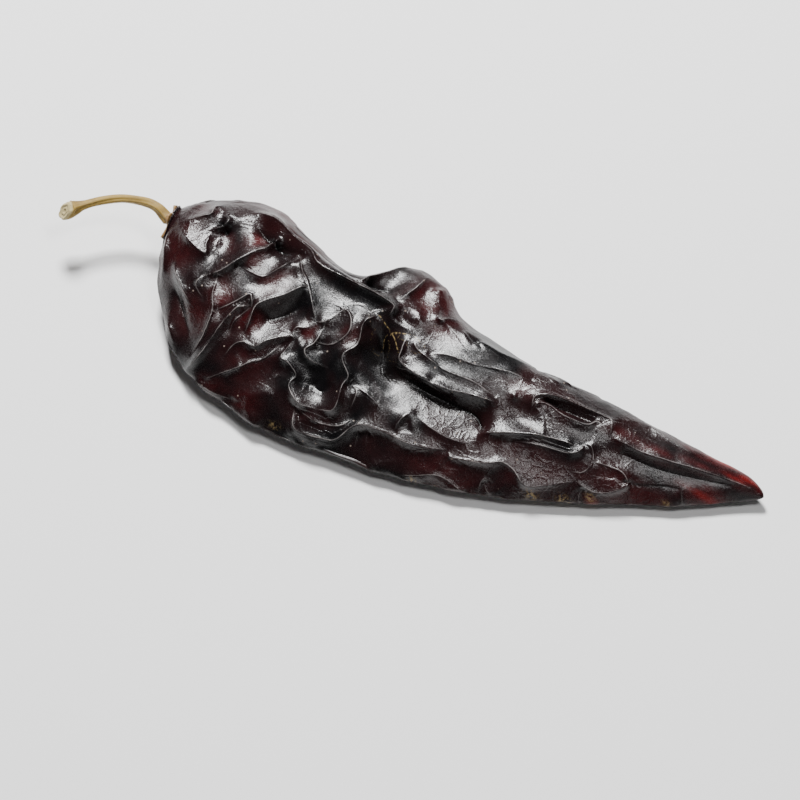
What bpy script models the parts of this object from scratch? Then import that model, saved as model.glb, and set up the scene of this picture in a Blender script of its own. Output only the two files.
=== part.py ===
"""A single large dried chilli, lying on its side: wrinkled pod, calyx and curved stem.

Metres in Blender, +Z up, +X from the stem end to the tip, origin under the middle of the whole.
The named sizes below are millimetres, in a drawing frame whose origin lies on the pod's axis.
"""

import bmesh
import bpy
import numpy as np

MM = 0.001

# Sections along the pod, in mm, from the stem end to the tip:
# x, near edge y, far edge y, crest y, crest z, near rim z, far rim z, underside z
SECTIONS = np.array([
    (-77.0, 3.8, 3.8, 3.8, 12.0, 12.0, 12.0, 12.0),
    (-78.6, -0.4, 6.2, 3.9, 14.2, 11.6, 12.1, 8.4),
    (-80.2, -3.2, 7.0, 3.5, 14.9, 10.4, 12.2, 6.8),
    (-79.0, -7.8, 8.6, 2.9, 15.8, 8.8, 12.2, 4.4),
    (-75.6, -14.6, 11.2, 2.0, 17.2, 6.7, 12.5, 2.0),
    (-69.0, -23.2, 14.9, 2.5, 19.2, 5.5, 12.5, 0.5),
    (-59.0, -31.1, 17.7, 5.0, 20.0, 4.5, 12.5, 0.0),
    (-46.0, -34.7, 14.6, 5.0, 20.0, 4.0, 12.0, 0.0),
    (-32.0, -36.4, 11.0, 3.5, 19.2, 3.5, 11.5, 0.0),
    (-17.0, -36.0, 17.6, 2.5, 18.6, 3.3, 11.0, 0.0),
    (-4.0, -34.8, 11.1, 0.5, 17.6, 3.2, 10.0, 0.0),
    (8.0, -32.6, 8.1, -1.5, 16.2, 3.1, 9.0, 0.0),
    (22.0, -29.0, 6.2, -2.5, 14.4, 3.0, 7.8, 0.0),
    (37.0, -23.1, 6.9, -3.0, 12.2, 2.8, 6.8, 0.0),
    (53.0, -16.0, 5.8, -2.0, 9.8, 2.6, 5.8, 0.0),
    (67.0, -9.1, 5.1, -0.8, 7.4, 2.5, 4.8, 0.2),
    (77.5, -2.5, 4.0, 0.6, 5.2, 2.6, 3.8, 0.9),
    (82.0, 0.8, 0.8, 0.8, 3.2, 3.2, 3.2, 3.2),
])
SECTION_POWER = 1.45
RINGS = 102
UPPER_POINTS = 32
LOWER_POINTS = 16

# Folds of the upper skin: height, half width, then a route of (x, y) in plan.
# A negative height is a groove, and a route runs between the folds it meets.
FOLDS = (
    ("crest", 3.4, 3.4, ((-59.8, 11.1), (-48.1, 8), (-38.8, 3.9), (-25.8, 2.7), (-17.7, 0))),
    ("shoulder", 2.6, 3.2, ((-60.3, -30.5), (-56.4, -25.1), (-54.6, -17.8), (-50.6, -11.7))),
    ("shoulder_top", 2.6, 3.4, ((-65.6, -10.2), (-58.7, -4.5), (-52.8, 2.7), (-51, 7))),
    ("shoulder_mid", 2.3, 3.0, ((-61.7, -7.6), (-60.1, -13.2), (-58.1, -21), (-59.4, -27.1))),
    ("ladder_a", 2.4, 2.8, ((-48.6, -18.3), (-48.5, -11.6), (-43.7, -6.6), (-38.7, -2.5))),
    ("ladder_b", 2.4, 2.8, ((-51.4, -25.1), (-44.5, -20.9), (-38.6, -15.4), (-33.7, -9.6))),
    ("ladder_c", 2.2, 2.6, ((-54.3, -31.3), (-44.5, -24.4), (-39, -17.5))),
    ("pocket_edge", 2.6, 3.0,
     ((-37.6, -19.9), (-32.5, -24), (-24.4, -28.2), (-20.5, -25.1), (-23.6, -14.9), (-21.7, -2.5))),
    ("pocket_inner", 2.0, 2.6, ((-31.7, -8.7), (-32.1, -15.7), (-25.6, -18.8))),
    ("rim_line", 1.8, 2.4,
     ((-28.3, -33.4), (-17.4, -32.2), (-10.4, -27.2), (-0.4, -26.2),
      (14.6, -24.2), (26.7, -22.4), (39.8, -17.1), (50.8, -12.5))),
    ("band", 2.8, 4.0, ((-11.7, -4.6), (-9.7, -10.1), (0.9, -11.8), (8.4, -10.4), (15.4, -9.4))),
    ("band_low", 2.2, 3.6, ((0.5, -18.9), (8.6, -23.2), (18.6, -19.2))),
    ("side_line", 2.2, 3.0, ((14.5, -17), (22.6, -13.7), (35.6, -11.3), (41.7, -11.4), (41.8, -16.5))),
    ("curl", 2.2, 2.6, ((23.5, -7.3), (23.4, -3.3), (31.4, -1.2), (40.5, -0.4), (43.1, -4.3))),
    ("tip_fold", 2.0, 2.4, ((43.7, -4.3), (56.8, -3.2), (70.9, -0.4), (79, 1))),
    ("upper_groove", -1.2, 3.0, ((-4.7, -5.6), (6.4, -3), (20.2, 0.2))),
    ("tip_groove", -0.9, 2.4, ((45.7, -8.4), (54.8, -7.6), (65.9, -3.7))),
)
# Hollows of the upper skin: depth, radius along, radius across, x, y.
HOLLOWS = (
    (3.6, 8.0, 7.0, -14.6, -10.8),
    (1.8, 6.0, 5.0, -30.5, -20.9),
    (1.6, 5.0, 5.0, -66.6, -10.8),
    (1.5, 7.0, 4.0, 5.5, -16.9),
)
# Swell of the far side: height, radius along, radius across, x, y.
SWELL = (1.2, 9.0, 8.0, -16, 10)

# Crumple of the whole skin, coarse then fine: cell size, ridge height, ridge width, seed.
CRUMPLE = (
    (11.0, 2.3, 2.3, 7),
    (6.0, 1.0, 1.3, 19),
)
# Cells are longer along the pod than across it, as the skin shrinks round it.
CELL_STRETCH = 1.6

# The flat spot that the pod rests on.
REST_X = -14.0
REST_Y = -12.0
REST_RADIUS = 9.0

# Stem, in mm: x, y, z of its centre line from the calyx to the cut end, and its radius.
STEM_ROUTE = np.array([
    (-80.6, 3.3, 11.7, 1.60),
    (-82.0, 3.9, 12.1, 1.45),
    (-84.0, 4.6, 12.8, 1.32),
    (-86.3, 4.8, 13.1, 1.20),
    (-89.2, 4.3, 13.2, 1.10),
    (-93.3, 2.9, 13.2, 1.02),
    (-97.4, 0.2, 13.2, 1.05),
    (-100.8, -2.9, 13.2, 1.15),
    (-102.3, -4.5, 13.2, 1.70),
    (-103.2, -5.4, 13.2, 2.10),
    (-104.2, -6.4, 13.2, 1.90),
])
STEM_SIDES = 20
STEM_STEPS = 46
STEM_RIDGES = 5
STEM_RIDGE = 0.07
# How far the cut at the stem's end leans back, for each mm of its height.
CUT_SLANT = 0.8

# Calyx: the thin lobed cap at the stem's foot, following the end of the pod.
CALYX_REACH = 0.085
CALYX_LOBES = 5
CALYX_LOBE = 0.22
CALYX_THICKNESS = 1.2
# Outward lean of the calyx's lobes. Below zero they close inwards, as the recess does.
CALYX_FLARE = -0.3
# Gap along the pod's axis, which leaves about 0.3 mm square to the sloping recess.
CALYX_GAP = 0.6
CALYX_RINGS = 6
# Share of the pod's length that stays smooth under the calyx.
SMOOTH_END = 0.105

POD_COLOUR = (0.035, 0.012, 0.013)
STEM_COLOUR = (0.50, 0.36, 0.15)


def spline(rows, t, round_ends=False):
    """Smooth curve through the rows of a table, t from 0 to 1. Round ends close like a dome."""
    last = len(rows) - 1
    place = np.clip(np.asarray(t, float) * last, 0, last - 1e-9)
    i = place.astype(int)
    f = (place - i)[..., None]
    ends = np.vstack([2 * rows[0] - rows[1], rows, 2 * rows[-1] - rows[-2]])
    if round_ends:
        ends[0, 0] = rows[1, 0]
        ends[-1, 0] = rows[-2, 0]
    a, b, c, d = ends[i], ends[i + 1], ends[i + 2], ends[i + 3]
    cubic = 2 * b + (c - a) * f
    cubic = cubic + (2 * a - 5 * b + 4 * c - d) * f**2
    cubic = cubic + (3 * b - a - 3 * c + d) * f**3
    return cubic / 2


def pod_form(t, turn):
    """Smooth pod: t along it, turn from 0 at the near rim over the top to 0.5, then below."""
    rows = np.moveaxis(spline(SECTIONS, t, round_ends=True), -1, 0)
    x, near, far, crest, top, rim_near, rim_far, under = rows
    angle = 2 * np.pi * turn
    across = -np.cos(angle)
    rise = np.abs(np.sin(angle))
    bent = np.sign(across) * np.abs(across) ** (2 / SECTION_POWER)
    reach = np.where(across < 0, crest - near, far - crest)
    y_top = crest + reach * bent
    rim = np.where(across < 0, rim_near, rim_far)
    z_top = rim + (top - rim) * rise ** (2 / SECTION_POWER)
    y_low = (near + far) / 2 + (far - near) / 2 * across
    share = 0.5 + 0.5 * across
    rim_low = rim_near * (1 - share) + rim_far * share
    z_low = under + (rim_low - under) * np.clip(1 - 1.12 * rise, 0, None)
    above = turn <= 0.5
    y = np.where(above, y_top, y_low)
    z = np.where(above, z_top, z_low)
    return np.stack([x, y, z], -1)


def even_shares(count):
    """Shares of the pod's length whose rings lie evenly along its skin."""
    fine = np.linspace(0, 1, 801)
    around = np.linspace(0, 1, 24, endpoint=False)
    t, turn = np.meshgrid(fine, around, indexing="ij")
    step = np.linalg.norm(np.diff(pod_form(t, turn), axis=0), axis=-1).mean(axis=1)
    length = np.concatenate([[0], np.cumsum(step)])
    return np.interp((np.arange(count) + 0.5) / count * length[-1], length, fine)


def normals(t, turn):
    """Outward direction of the smooth pod, from two short steps along it and round it."""
    step = 1e-3
    inner = np.clip(t, 0.006, 0.994)
    along = pod_form(inner + step, turn) - pod_form(inner - step, turn)
    below = turn > 0.5
    ahead = np.where(below, np.clip(turn + step, 0.5005, 1), np.clip(turn + step, 0, 0.5))
    behind = np.where(below, np.clip(turn - step, 0.5005, 1), np.clip(turn - step, 0, 0.5))
    round_it = pod_form(inner, ahead) - pod_form(inner, behind)
    out = np.cross(round_it, along)
    size = np.linalg.norm(out, axis=-1, keepdims=True)
    return out / np.maximum(size, 1e-9)


def distance(points, route):
    """Distance in plan from points to a route, and the share of the route at the nearest place."""
    best = np.full(points.shape[:-1], 1e9)
    share = np.zeros(points.shape[:-1])
    lengths = np.linalg.norm(np.diff(route, axis=0), axis=1)
    total = lengths.sum()
    done = 0.0
    for start, end, length in zip(route[:-1], route[1:], lengths):
        leg = end - start
        f = np.clip(((points - start) @ leg) / length**2, 0, 1)
        gap = np.linalg.norm(points - (start + f[..., None] * leg), axis=-1)
        nearer = gap < best
        best = np.where(nearer, gap, best)
        share = np.where(nearer, (done + f * length) / total, share)
        done += length
    return best, share


def fold_relief(plan):
    """Height of the folds and hollows over the smooth form, in mm."""
    ridge = np.zeros(plan.shape[:-1])
    groove = np.zeros(plan.shape[:-1])
    for _name, height, half_width, route in FOLDS:
        curve = spline(np.array(route, float), np.linspace(0, 1, 6 * len(route)))
        gap, share = distance(plan, curve)
        taper = np.clip(6 * share, 0, 1) * np.clip(6 * (1 - share), 0, 1)
        taper = 0.35 + 0.65 * taper
        shape = height * taper * np.exp(-((gap / half_width) ** 1.4))
        if height > 0:
            ridge = np.maximum(ridge, shape)
        else:
            groove = np.minimum(groove, shape)
    relief = ridge + groove - 0.5
    for depth, along, across, x, y in HOLLOWS:
        q = ((plan[..., 0] - x) / along) ** 2 + ((plan[..., 1] - y) / across) ** 2
        relief = relief - depth * np.exp(-q)
    height, along, across, x, y = SWELL
    q = ((plan[..., 0] - x) / along) ** 2 + ((plan[..., 1] - y) / across) ** 2
    return relief + height * np.exp(-q)


def crumple(points):
    """Ridges between the uneven cells that the skin has shrunk into, in mm, about zero."""
    relief = np.zeros(points.shape[:-1])
    flat = points.reshape(-1, 3) / np.array([CELL_STRETCH, 1, 1])
    for cell, height, width, seed in CRUMPLE:
        rng = np.random.default_rng(seed)
        low = flat.min(axis=0) - cell
        high = flat.max(axis=0) + cell
        count = int(np.prod(high - low) / cell**3)
        seeds = rng.uniform(low, high, (count, 3))
        nearest = np.full(len(flat), 1e9)
        second = np.full(len(flat), 1e9)
        for place in seeds:
            gap = np.linalg.norm(flat - place, axis=1)
            second = np.minimum(second, np.maximum(nearest, gap))
            nearest = np.minimum(nearest, gap)
        ridge = height * (np.exp(-(second - nearest) / width) - 0.45)
        relief = relief + ridge.reshape(points.shape[:-1])
    return relief


def pod_points(t, turn):
    """Points of the wrinkled pod."""
    form = pod_form(t, turn)
    plan = form[..., :2]
    rim = np.abs(np.sin(2 * np.pi * turn))
    ends = np.clip(np.minimum((t - SMOOTH_END) / 0.08, (1 - t) / 0.12), 0, 1) ** 0.7
    slim = np.clip((90 - plan[..., 0]) / 80, 0.2, 1)
    skin = crumple(form)
    upper = fold_relief(plan) * (0.3 + 0.7 * rim) + 0.6 * skin
    spot = np.hypot(plan[..., 0] - REST_X, plan[..., 1] - REST_Y)
    flat = np.clip((spot - REST_RADIUS) / 6, 0, 1)
    lower = np.minimum(skin - 0.5, 0.4) * np.where(rim > 0.8, flat, 1)
    height = np.where(turn <= 0.5, upper, lower) * ends * slim
    points = form + normals(t, turn) * height[..., None]
    points[..., 2] = np.maximum(points[..., 2], 0)
    return points


def box_centre():
    """Drawing-frame point that becomes the origin: under the middle of the whole."""
    t = np.linspace(0, 1, 240)[:, None] * np.ones(120)
    turn = np.ones(240)[:, None] * np.linspace(0, 1, 120, endpoint=False)
    pod = pod_points(t, turn)
    low_x = STEM_ROUTE[-1, 0] - 1.4
    high_x = pod[..., 0].max()
    low_y = pod[..., 1].min()
    high_y = pod[..., 1].max()
    return np.array([(low_x + high_x) / 2, (low_y + high_y) / 2, 0.0])


def material(name, colour, roughness):
    made = bpy.data.materials.new(name)
    made.use_nodes = True
    shader = made.node_tree.nodes["Principled BSDF"]
    shader.inputs["Base Color"].default_value = (*colour, 1)
    shader.inputs["Roughness"].default_value = roughness
    shader.inputs["Metallic"].default_value = 0
    return made


def add_solid(name, mesh, surface, collection):
    made = bpy.data.objects.new(name, mesh)
    made.data.materials.append(surface)
    collection.objects.link(made)
    mesh.shade_smooth()
    return made


def tube_mesh(name, rings, first, last):
    """Closed mesh through rings of points, with a point at each end."""
    shape = bmesh.new()
    rows = [[shape.verts.new(p) for p in ring] for ring in rings]
    start = shape.verts.new(first)
    end = shape.verts.new(last)
    count = len(rows[0])
    for low, high in zip(rows[:-1], rows[1:]):
        for k in range(count):
            n = (k + 1) % count
            shape.faces.new((low[k], low[n], high[n], high[k]))
    for k in range(count):
        n = (k + 1) % count
        shape.faces.new((start, rows[0][n], rows[0][k]))
        shape.faces.new((end, rows[-1][k], rows[-1][n]))
    bmesh.ops.triangulate(shape, faces=shape.faces[:])
    bmesh.ops.recalc_face_normals(shape, faces=shape.faces[:])
    mesh = bpy.data.meshes.new(name)
    shape.to_mesh(mesh)
    shape.free()
    return mesh


def make_pod(centre, collection):
    """The wrinkled pod, one closed solid."""
    along = even_shares(RINGS)
    upper = np.linspace(0, 0.5, UPPER_POINTS, endpoint=False)
    lower = np.linspace(0.5, 1, LOWER_POINTS, endpoint=False)
    turn = np.concatenate([upper, lower])
    t, v = np.meshgrid(along, turn, indexing="ij")
    rings = (pod_points(t, v) - centre) * MM
    first = (pod_form(np.array(0.0), np.array(0.25)) - centre) * MM
    last = (pod_form(np.array(1.0), np.array(0.25)) - centre) * MM
    mesh = tube_mesh("pod", rings, first, last)
    return add_solid("pod", mesh, material("skin", POD_COLOUR, 0.35), collection)


def calyx_rings():
    """Rings of the calyx: out along its inner face to the lobed edge, then back over its outer face."""
    turn = np.arange(STEM_SIDES) / STEM_SIDES
    angle = 2 * np.pi * turn
    lobes = 1 + CALYX_LOBE * np.cos(CALYX_LOBES * angle)
    inner = []
    outer = []
    for share in np.linspace(0.25, 1, CALYX_RINGS):
        place = pod_points(CALYX_REACH * share * lobes, turn)
        flare = CALYX_FLARE * share
        out = np.stack([-np.ones(STEM_SIDES), -flare * np.cos(angle), flare * np.sin(angle)], -1)
        thickness = CALYX_THICKNESS * (1 - 0.4 * share)
        inner.append(place + out * CALYX_GAP)
        outer.append(place + out * (CALYX_GAP + thickness))
    return inner + outer[:0:-1]


def stem_rings():
    """Rings along the stem, with its shallow lengthwise ridges."""
    rows = spline(STEM_ROUTE, np.linspace(0, 1, STEM_STEPS))
    along = np.gradient(rows[:, :3], axis=0)
    side = np.cross((0, 0, 1.0), -along)
    side = side / np.linalg.norm(side, axis=1, keepdims=True)
    up = np.cross(-along, side)
    up = up / np.linalg.norm(up, axis=1, keepdims=True)
    angle = 2 * np.pi * np.arange(STEM_SIDES) / STEM_SIDES
    rings = []
    for k, row in enumerate(rows):
        radius = row[3] * (1 + STEM_RIDGE * np.cos(STEM_RIDGES * angle + 0.05 * k))
        across = up[k] * np.sin(angle)[:, None] - side[k] * np.cos(angle)[:, None]
        ring = row[:3] + across * radius[:, None]
        slant = CUT_SLANT * np.clip((k / STEM_STEPS - 0.84) / 0.12, 0, 1) * (ring[:, 2] - row[2])
        rings.append(ring - along[k] / np.linalg.norm(along[k]) * slant[:, None])
    return rings, rows


def make_stem(centre, collection):
    """The stem and its calyx, one closed solid a small gap away from the pod."""
    cap = calyx_rings()
    rings, rows = stem_rings()
    first = pod_points(np.array(0.0), np.array(0.25)) + np.array([-CALYX_GAP, 0, 0])
    shape = [(np.asarray(ring) - centre) * MM for ring in cap + rings]
    mesh = tube_mesh("stem", shape, (first - centre) * MM, (rows[-1, :3] - centre) * MM)
    return add_solid("stem", mesh, material("stem_skin", STEM_COLOUR, 0.6), collection)


def main():
    for old in list(bpy.data.objects):
        bpy.data.objects.remove(old, do_unlink=True)
    collection = bpy.data.collections.new("dried_chilli")
    bpy.context.scene.collection.children.link(collection)
    centre = box_centre()
    make_pod(centre, collection)
    make_stem(centre, collection)


main()
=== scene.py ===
"""The looks of a large dried chilli: its crumpled, glossy near-black skin, and its dry stem and calyx."""

import bmesh
import bpy
import numpy as np
from mathutils import Matrix, Vector, kdtree


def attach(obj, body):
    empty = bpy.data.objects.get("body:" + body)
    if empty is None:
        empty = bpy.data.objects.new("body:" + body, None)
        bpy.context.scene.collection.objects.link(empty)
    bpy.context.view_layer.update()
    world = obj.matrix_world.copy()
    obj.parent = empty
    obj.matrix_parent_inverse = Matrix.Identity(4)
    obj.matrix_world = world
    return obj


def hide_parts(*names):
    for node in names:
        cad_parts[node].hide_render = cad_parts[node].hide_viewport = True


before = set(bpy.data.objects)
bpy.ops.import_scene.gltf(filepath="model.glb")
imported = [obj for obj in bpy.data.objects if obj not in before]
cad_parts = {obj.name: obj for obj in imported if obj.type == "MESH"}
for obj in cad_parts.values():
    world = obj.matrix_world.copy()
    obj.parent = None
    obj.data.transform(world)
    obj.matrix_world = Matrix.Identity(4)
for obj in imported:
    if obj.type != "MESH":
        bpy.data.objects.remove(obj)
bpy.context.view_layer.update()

MM = 0.001

# Sections along the pod, in mm, from the stem end to the tip:
# x, near edge y, far edge y, crest y, crest z, near rim z, far rim z, underside z
SECTIONS = np.array([
    (-77.0, 3.8, 3.8, 3.8, 12.0, 12.0, 12.0, 12.0),
    (-78.6, -0.4, 6.2, 3.9, 14.2, 11.6, 12.1, 8.4),
    (-80.2, -3.2, 7.0, 3.5, 14.9, 10.4, 12.2, 6.8),
    (-79.0, -7.8, 8.6, 2.9, 15.8, 8.8, 12.2, 4.4),
    (-75.6, -14.6, 11.2, 2.0, 17.2, 6.7, 12.5, 2.0),
    (-69.0, -23.2, 14.9, 2.5, 19.2, 5.5, 12.5, 0.5),
    (-59.0, -31.1, 17.7, 5.0, 20.0, 4.5, 12.5, 0.0),
    (-46.0, -34.7, 14.6, 5.0, 20.0, 4.0, 12.0, 0.0),
    (-32.0, -36.4, 11.0, 3.5, 19.2, 3.5, 11.5, 0.0),
    (-17.0, -36.0, 17.6, 2.5, 18.6, 3.3, 11.0, 0.0),
    (-4.0, -34.8, 11.1, 0.5, 17.6, 3.2, 10.0, 0.0),
    (8.0, -32.6, 8.1, -1.5, 16.2, 3.1, 9.0, 0.0),
    (22.0, -29.0, 6.2, -2.5, 14.4, 3.0, 7.8, 0.0),
    (37.0, -23.1, 6.9, -3.0, 12.2, 2.8, 6.8, 0.0),
    (53.0, -16.0, 5.8, -2.0, 9.8, 2.6, 5.8, 0.0),
    (67.0, -9.1, 5.1, -0.8, 7.4, 2.5, 4.8, 0.2),
    (77.5, -2.5, 4.0, 0.6, 5.2, 2.6, 3.8, 0.9),
    (82.0, 0.8, 0.8, 0.8, 3.2, 3.2, 3.2, 3.2),
])
# Exponents of a section's near and far halves: 2 gives an ellipse, less a sharper rim.
NEAR_POWER = 1.45
FAR_POWER = 1.95
# How far the far rim is drawn in, and the width of the far half from which it is so, in mm.
FAR_INSET = 0.1
INSET_WIDTH = 8
# How steeply the underside leaves the rims.
UNDER_FALL = 1.12
# Rings along the pod, and points on the upper and the lower half of each.
RINGS = 496
UPPER_POINTS = 152
LOWER_POINTS = 48

# Creases of the upper skin, in mm: height, then the route in plan (x, y).
# Ridges stand up, grooves have a negative height, and the skin is stretched between them.
CREASES = (
    (2.6, ((-59.3, 11.1), (-53, 10), (-48.1, 8), (-42.9, 6.1), (-39.2, 3.9), (-30.8, 3), (-21.3, 2.4),
           (-17.8, 1.4), (-17.9, -1.2))),
    (-1.6, ((-50.8, 11.2), (-41, 9.6), (-34.2, 7.4), (-28, 6.3), (-20.9, 6.3))),
    (2.4, ((-59.8, -30.6), (-58, -28.8), (-56.6, -25.7), (-55, -19.1), (-53.6, -15.1), (-52.6, -13.6),
           (-50.3, -12.4))),
    (2.2, ((-58.3, -16.6), (-54.1, -13), (-51.5, -10), (-50.2, -11.1), (-49.7, -12.6))),
    (1.9, ((-61.3, -7.9), (-60.1, -13.1), (-58.3, -16.6), (-58.1, -22.2), (-59.3, -27.1))),
    (2.1, ((-65.3, -10.1), (-61.2, -7.6), (-57.8, -3.2), (-55.2, 0.4), (-52.8, 2.8), (-51.3, 6.8))),
    (1.7, ((-57.7, -4), (-51.3, -4.8), (-49.4, -3.5), (-47.9, -1.4), (-46.6, 0.4), (-45.6, 2.4))),
    (2.3, ((-48.8, -18.4), (-48.6, -15.6), (-48.5, -11.6), (-44.7, -7.9), (-43.6, -6.8), (-40.7, -3.5),
           (-39.1, -2.5))),
    (2.1, ((-51.4, -25.1), (-49.9, -21.9), (-47.7, -20.6), (-44.7, -20.8), (-42.2, -18), (-37.8, -15.2),
           (-36.4, -15.7))),
    (2.0, ((-54.1, -31.3), (-47.4, -26.9), (-44.6, -24.4), (-41.7, -22.3), (-39, -17.5))),
    (2.3, ((-36.4, -15.7), (-37.9, -20.3), (-35.2, -21.2), (-32.6, -23), (-33.2, -25.6), (-29.3, -28.3),
           (-24.4, -28.1))),
    (2.5, ((-24.4, -28.1), (-20.4, -26.5), (-20.9, -20.9), (-20.5, -18.4), (-23.9, -14.8),
           (-21.9, -10.6), (-22.7, -5.6), (-21, -2.2))),
    (1.9, ((-38.1, -14.7), (-37.4, -12.7), (-35.1, -11.8), (-33.7, -9.6))),
    (2.1, ((-31.3, -8.4), (-31.6, -14.1), (-33.2, -16.7), (-31.1, -18.4), (-25.8, -18.5))),
    (1.8, ((-31.6, -14.1), (-27.6, -13), (-25.4, -9.8), (-25.3, -7.1), (-27.4, -4.3), (-32.3, -3.5))),
    (1.7, ((-30, -29.5), (-24.4, -30.5), (-21, -30.3), (-17.6, -29.2), (-15.2, -26.4))),
    (1.9, ((-30, -29.4), (-27.7, -33.6), (-20.5, -33.2), (-17.3, -32.2), (-13.5, -27.5), (-5.9, -26.6),
           (0.5, -26.5), (9.2, -24.2))),
    (1.9, ((9.2, -24.2), (11, -25.1), (18.3, -23.1), (21.8, -21.2), (25.3, -21.4), (29, -23.1),
           (32.7, -21.7), (40.2, -17))),
    (1.8, ((40.2, -17), (42.6, -17.3), (46.2, -16.8), (51.4, -12.8), (49.4, -10.5), (44.5, -10.9),
           (41.9, -11.4))),
    (1.5, ((38, -8.9), (40, -8.5), (41.9, -11.4), (40.8, -14.6), (38, -15.8))),
    (1.2, ((42.6, -17.3), (42, -19.5), (43.3, -21.2))),
    (2.3, ((-11.9, -4.3), (-11.4, -7.6), (-10.8, -10), (-6.1, -11.4), (1, -12), (7.9, -10.5),
           (14.7, -9.4))),
    (1.2, ((-10.2, -3.5), (-8.2, -5.6), (-2.7, -7.1), (1.1, -7.6), (7.8, -7.2), (14, -8.1))),
    (1.0, ((-1.5, -20.2), (3.6, -21.4), (9.0, -21.6), (14.0, -20.4))),
    (0.8, ((-5.1, -5.6), (-0.7, -3.8), (6.4, -3), (13.6, -0.8), (20.2, 0.2))),
    (-1.7, ((-10.3, -12.2), (-2.8, -13.7), (4.4, -13.9), (11.1, -14), (13.5, -15.4), (14.7, -17))),
    (1.6, ((-16.9, -25.1), (-17, -21.2), (-18.5, -19.8), (-14.9, -20.3), (-10.4, -21.8))),
    (1.4, ((-4.4, -26.2), (-4.8, -24.1), (-3.4, -20.7), (-1.5, -20.3))),
    (1.3, ((-0.2, -33.6), (4.2, -31.9), (9.7, -29.8), (16.8, -30.6))),
    (1.4, ((19.6, -30.1), (19.5, -26.4), (22.5, -25.8))),
    (1.2, ((19.5, -26.4), (21.7, -28.2), (24.2, -27.8))),
    (2.0, ((14.9, -17.3), (19.6, -15.1), (27, -12.1), (33.4, -10.5), (36.3, -10.2))),
    (1.6, ((22.4, -15.7), (28.7, -13.8), (36, -12.3), (38.2, -10.3), (38, -8.9))),
    (1.8, ((23.5, -7.3), (22.6, -4.2), (24.2, -2.6), (28.8, -1.1), (39.8, 0), (41.8, -0.8),
           (43.1, -4.3))),
    (1.6, ((23.5, -7.3), (24.1, -4.6), (26.9, -3.9), (31, -4.8), (36.8, -4.2), (39, -2), (43.1, -4.3))),
    (-0.9, ((25.4, -3), (30.5, -2.7), (37.5, -2.2))),
    (1.7, ((43.4, -4.2), (51.7, -4.1), (57, -3.2), (62.9, -2), (71.1, -0.4), (79, 1))),
    (-1.0, ((47.7, -6.6), (56.8, -5.9), (65.9, -3.6), (73.9, -1.2))),
    (1.3, ((63.7, -7.3), (64.8, -9.2), (65.7, -10.7))),
    (-0.8, ((51.3, -12), (54.4, -11.1), (59.6, -8.8), (63.3, -7.4))),
    (1.7, ((-74.1, 2.4), (-71.6, 4.3), (-69.9, 5.8), (-70.2, 8.4), (-69.2, 10))),
    (1.6, ((-67.4, 6.9), (-65.2, 6.2), (-65.6, 4.1), (-67.9, 2.1), (-69.7, 1.3))),
    (1.5, ((-76.5, 0.5), (-71.5, -2.8), (-66.8, -4.4), (-67.5, -2), (-68.1, 1.9))),
    (1.4, ((-65.8, 1.5), (-64.7, -0.8), (-65.5, -4.1))),
    (1.4, ((-62.6, -8.7), (-64.9, -10.7), (-64.8, -12.7), (-62, -14.8))),
    (1.6, ((-78.5, -2.8), (-77.3, -5.2), (-76.1, -9.2), (-75.9, -11.5))),
    (1.7, ((-73.4, -8.9), (-71.3, -11.2), (-67.8, -14.3), (-65.3, -16.2))),
    (1.4, ((-70.1, -21.5), (-68, -22.6), (-66.1, -25.2))),
    (1.5, ((-50, -12.8), (-52.4, -16.8), (-52.5, -19.7))),
    (1.3, ((-58.1, -31.8), (-50.5, -33), (-45.8, -33.2))),
    (1.5, ((-44.8, 4.5), (-42.5, 0.8), (-40, -1.3), (-36.7, -5.6), (-33.7, -9.6))),
    (1.5, ((-7.7, 7.4), (-7.3, 4.7), (-6.2, 3.8), (-5.6, 5.1), (-3.1, 7.3))),
    (1.1, ((-13.1, -28.6), (-12.3, -32.4))),
    (1.1, ((-11, -27.4), (-10, -31.4))),
    (1.2, ((47.9, 4.7), (55.3, 2.7), (62.3, 2))),
    (1.5, ((-28.8, 4), (-26.8, 7.3), (-23.4, 11.9), (-20.7, 15.4))),
    (1.4, ((-17.8, 3.7), (-15.8, 8.6), (-15, 14))),
    (1.3, ((-33.7, -9.6), (-31.3, -8.4), (-26.7, -1.5), (-21, -2.2))),
    (-2.6, ((-17.7, -5.6), (-15.7, -9.6), (-14.1, -13.7), (-9.6, -16.3))),
    (-1.6, ((-66.4, 4.5), (-64.3, 3.1))),
    (-1.4, ((-57, 7), (-50.8, 4.2), (-46.8, 3.7))),
    (-1.3, ((-45.6, -13.8), (-42.7, -11.6), (-38.7, -7.5))),
    (-1.2, ((-28.5, -23.5), (-25.5, -24), (-23.5, -22))),
    (-1.3, ((-70.5, -15), (-66.5, -18.9), (-62.5, -23))),
)

# Hollows of the upper skin: depth, radius along, radius across, x, y.
HOLLOWS = (
    (1.4, 7.0, 6.0, -14.6, -10.8), (1.0, 6.0, 5.0, -30.5, -20.9), (1.5, 4.6, 3.8, 22.0, -9.2),
    (1.1, 4.0, 3.0, 45.0, -8.2), (1.5, 5.0, 4.2, -65.0, -0.5),
)

# Swells of the far hump: height, radius along, radius across, x, y.
SWELLS = (
    (1.2, 8.0, 5.0, -15.5, 15.0), (1.0, 5.0, 4.0, -9.0, 12.0),
)

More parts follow.
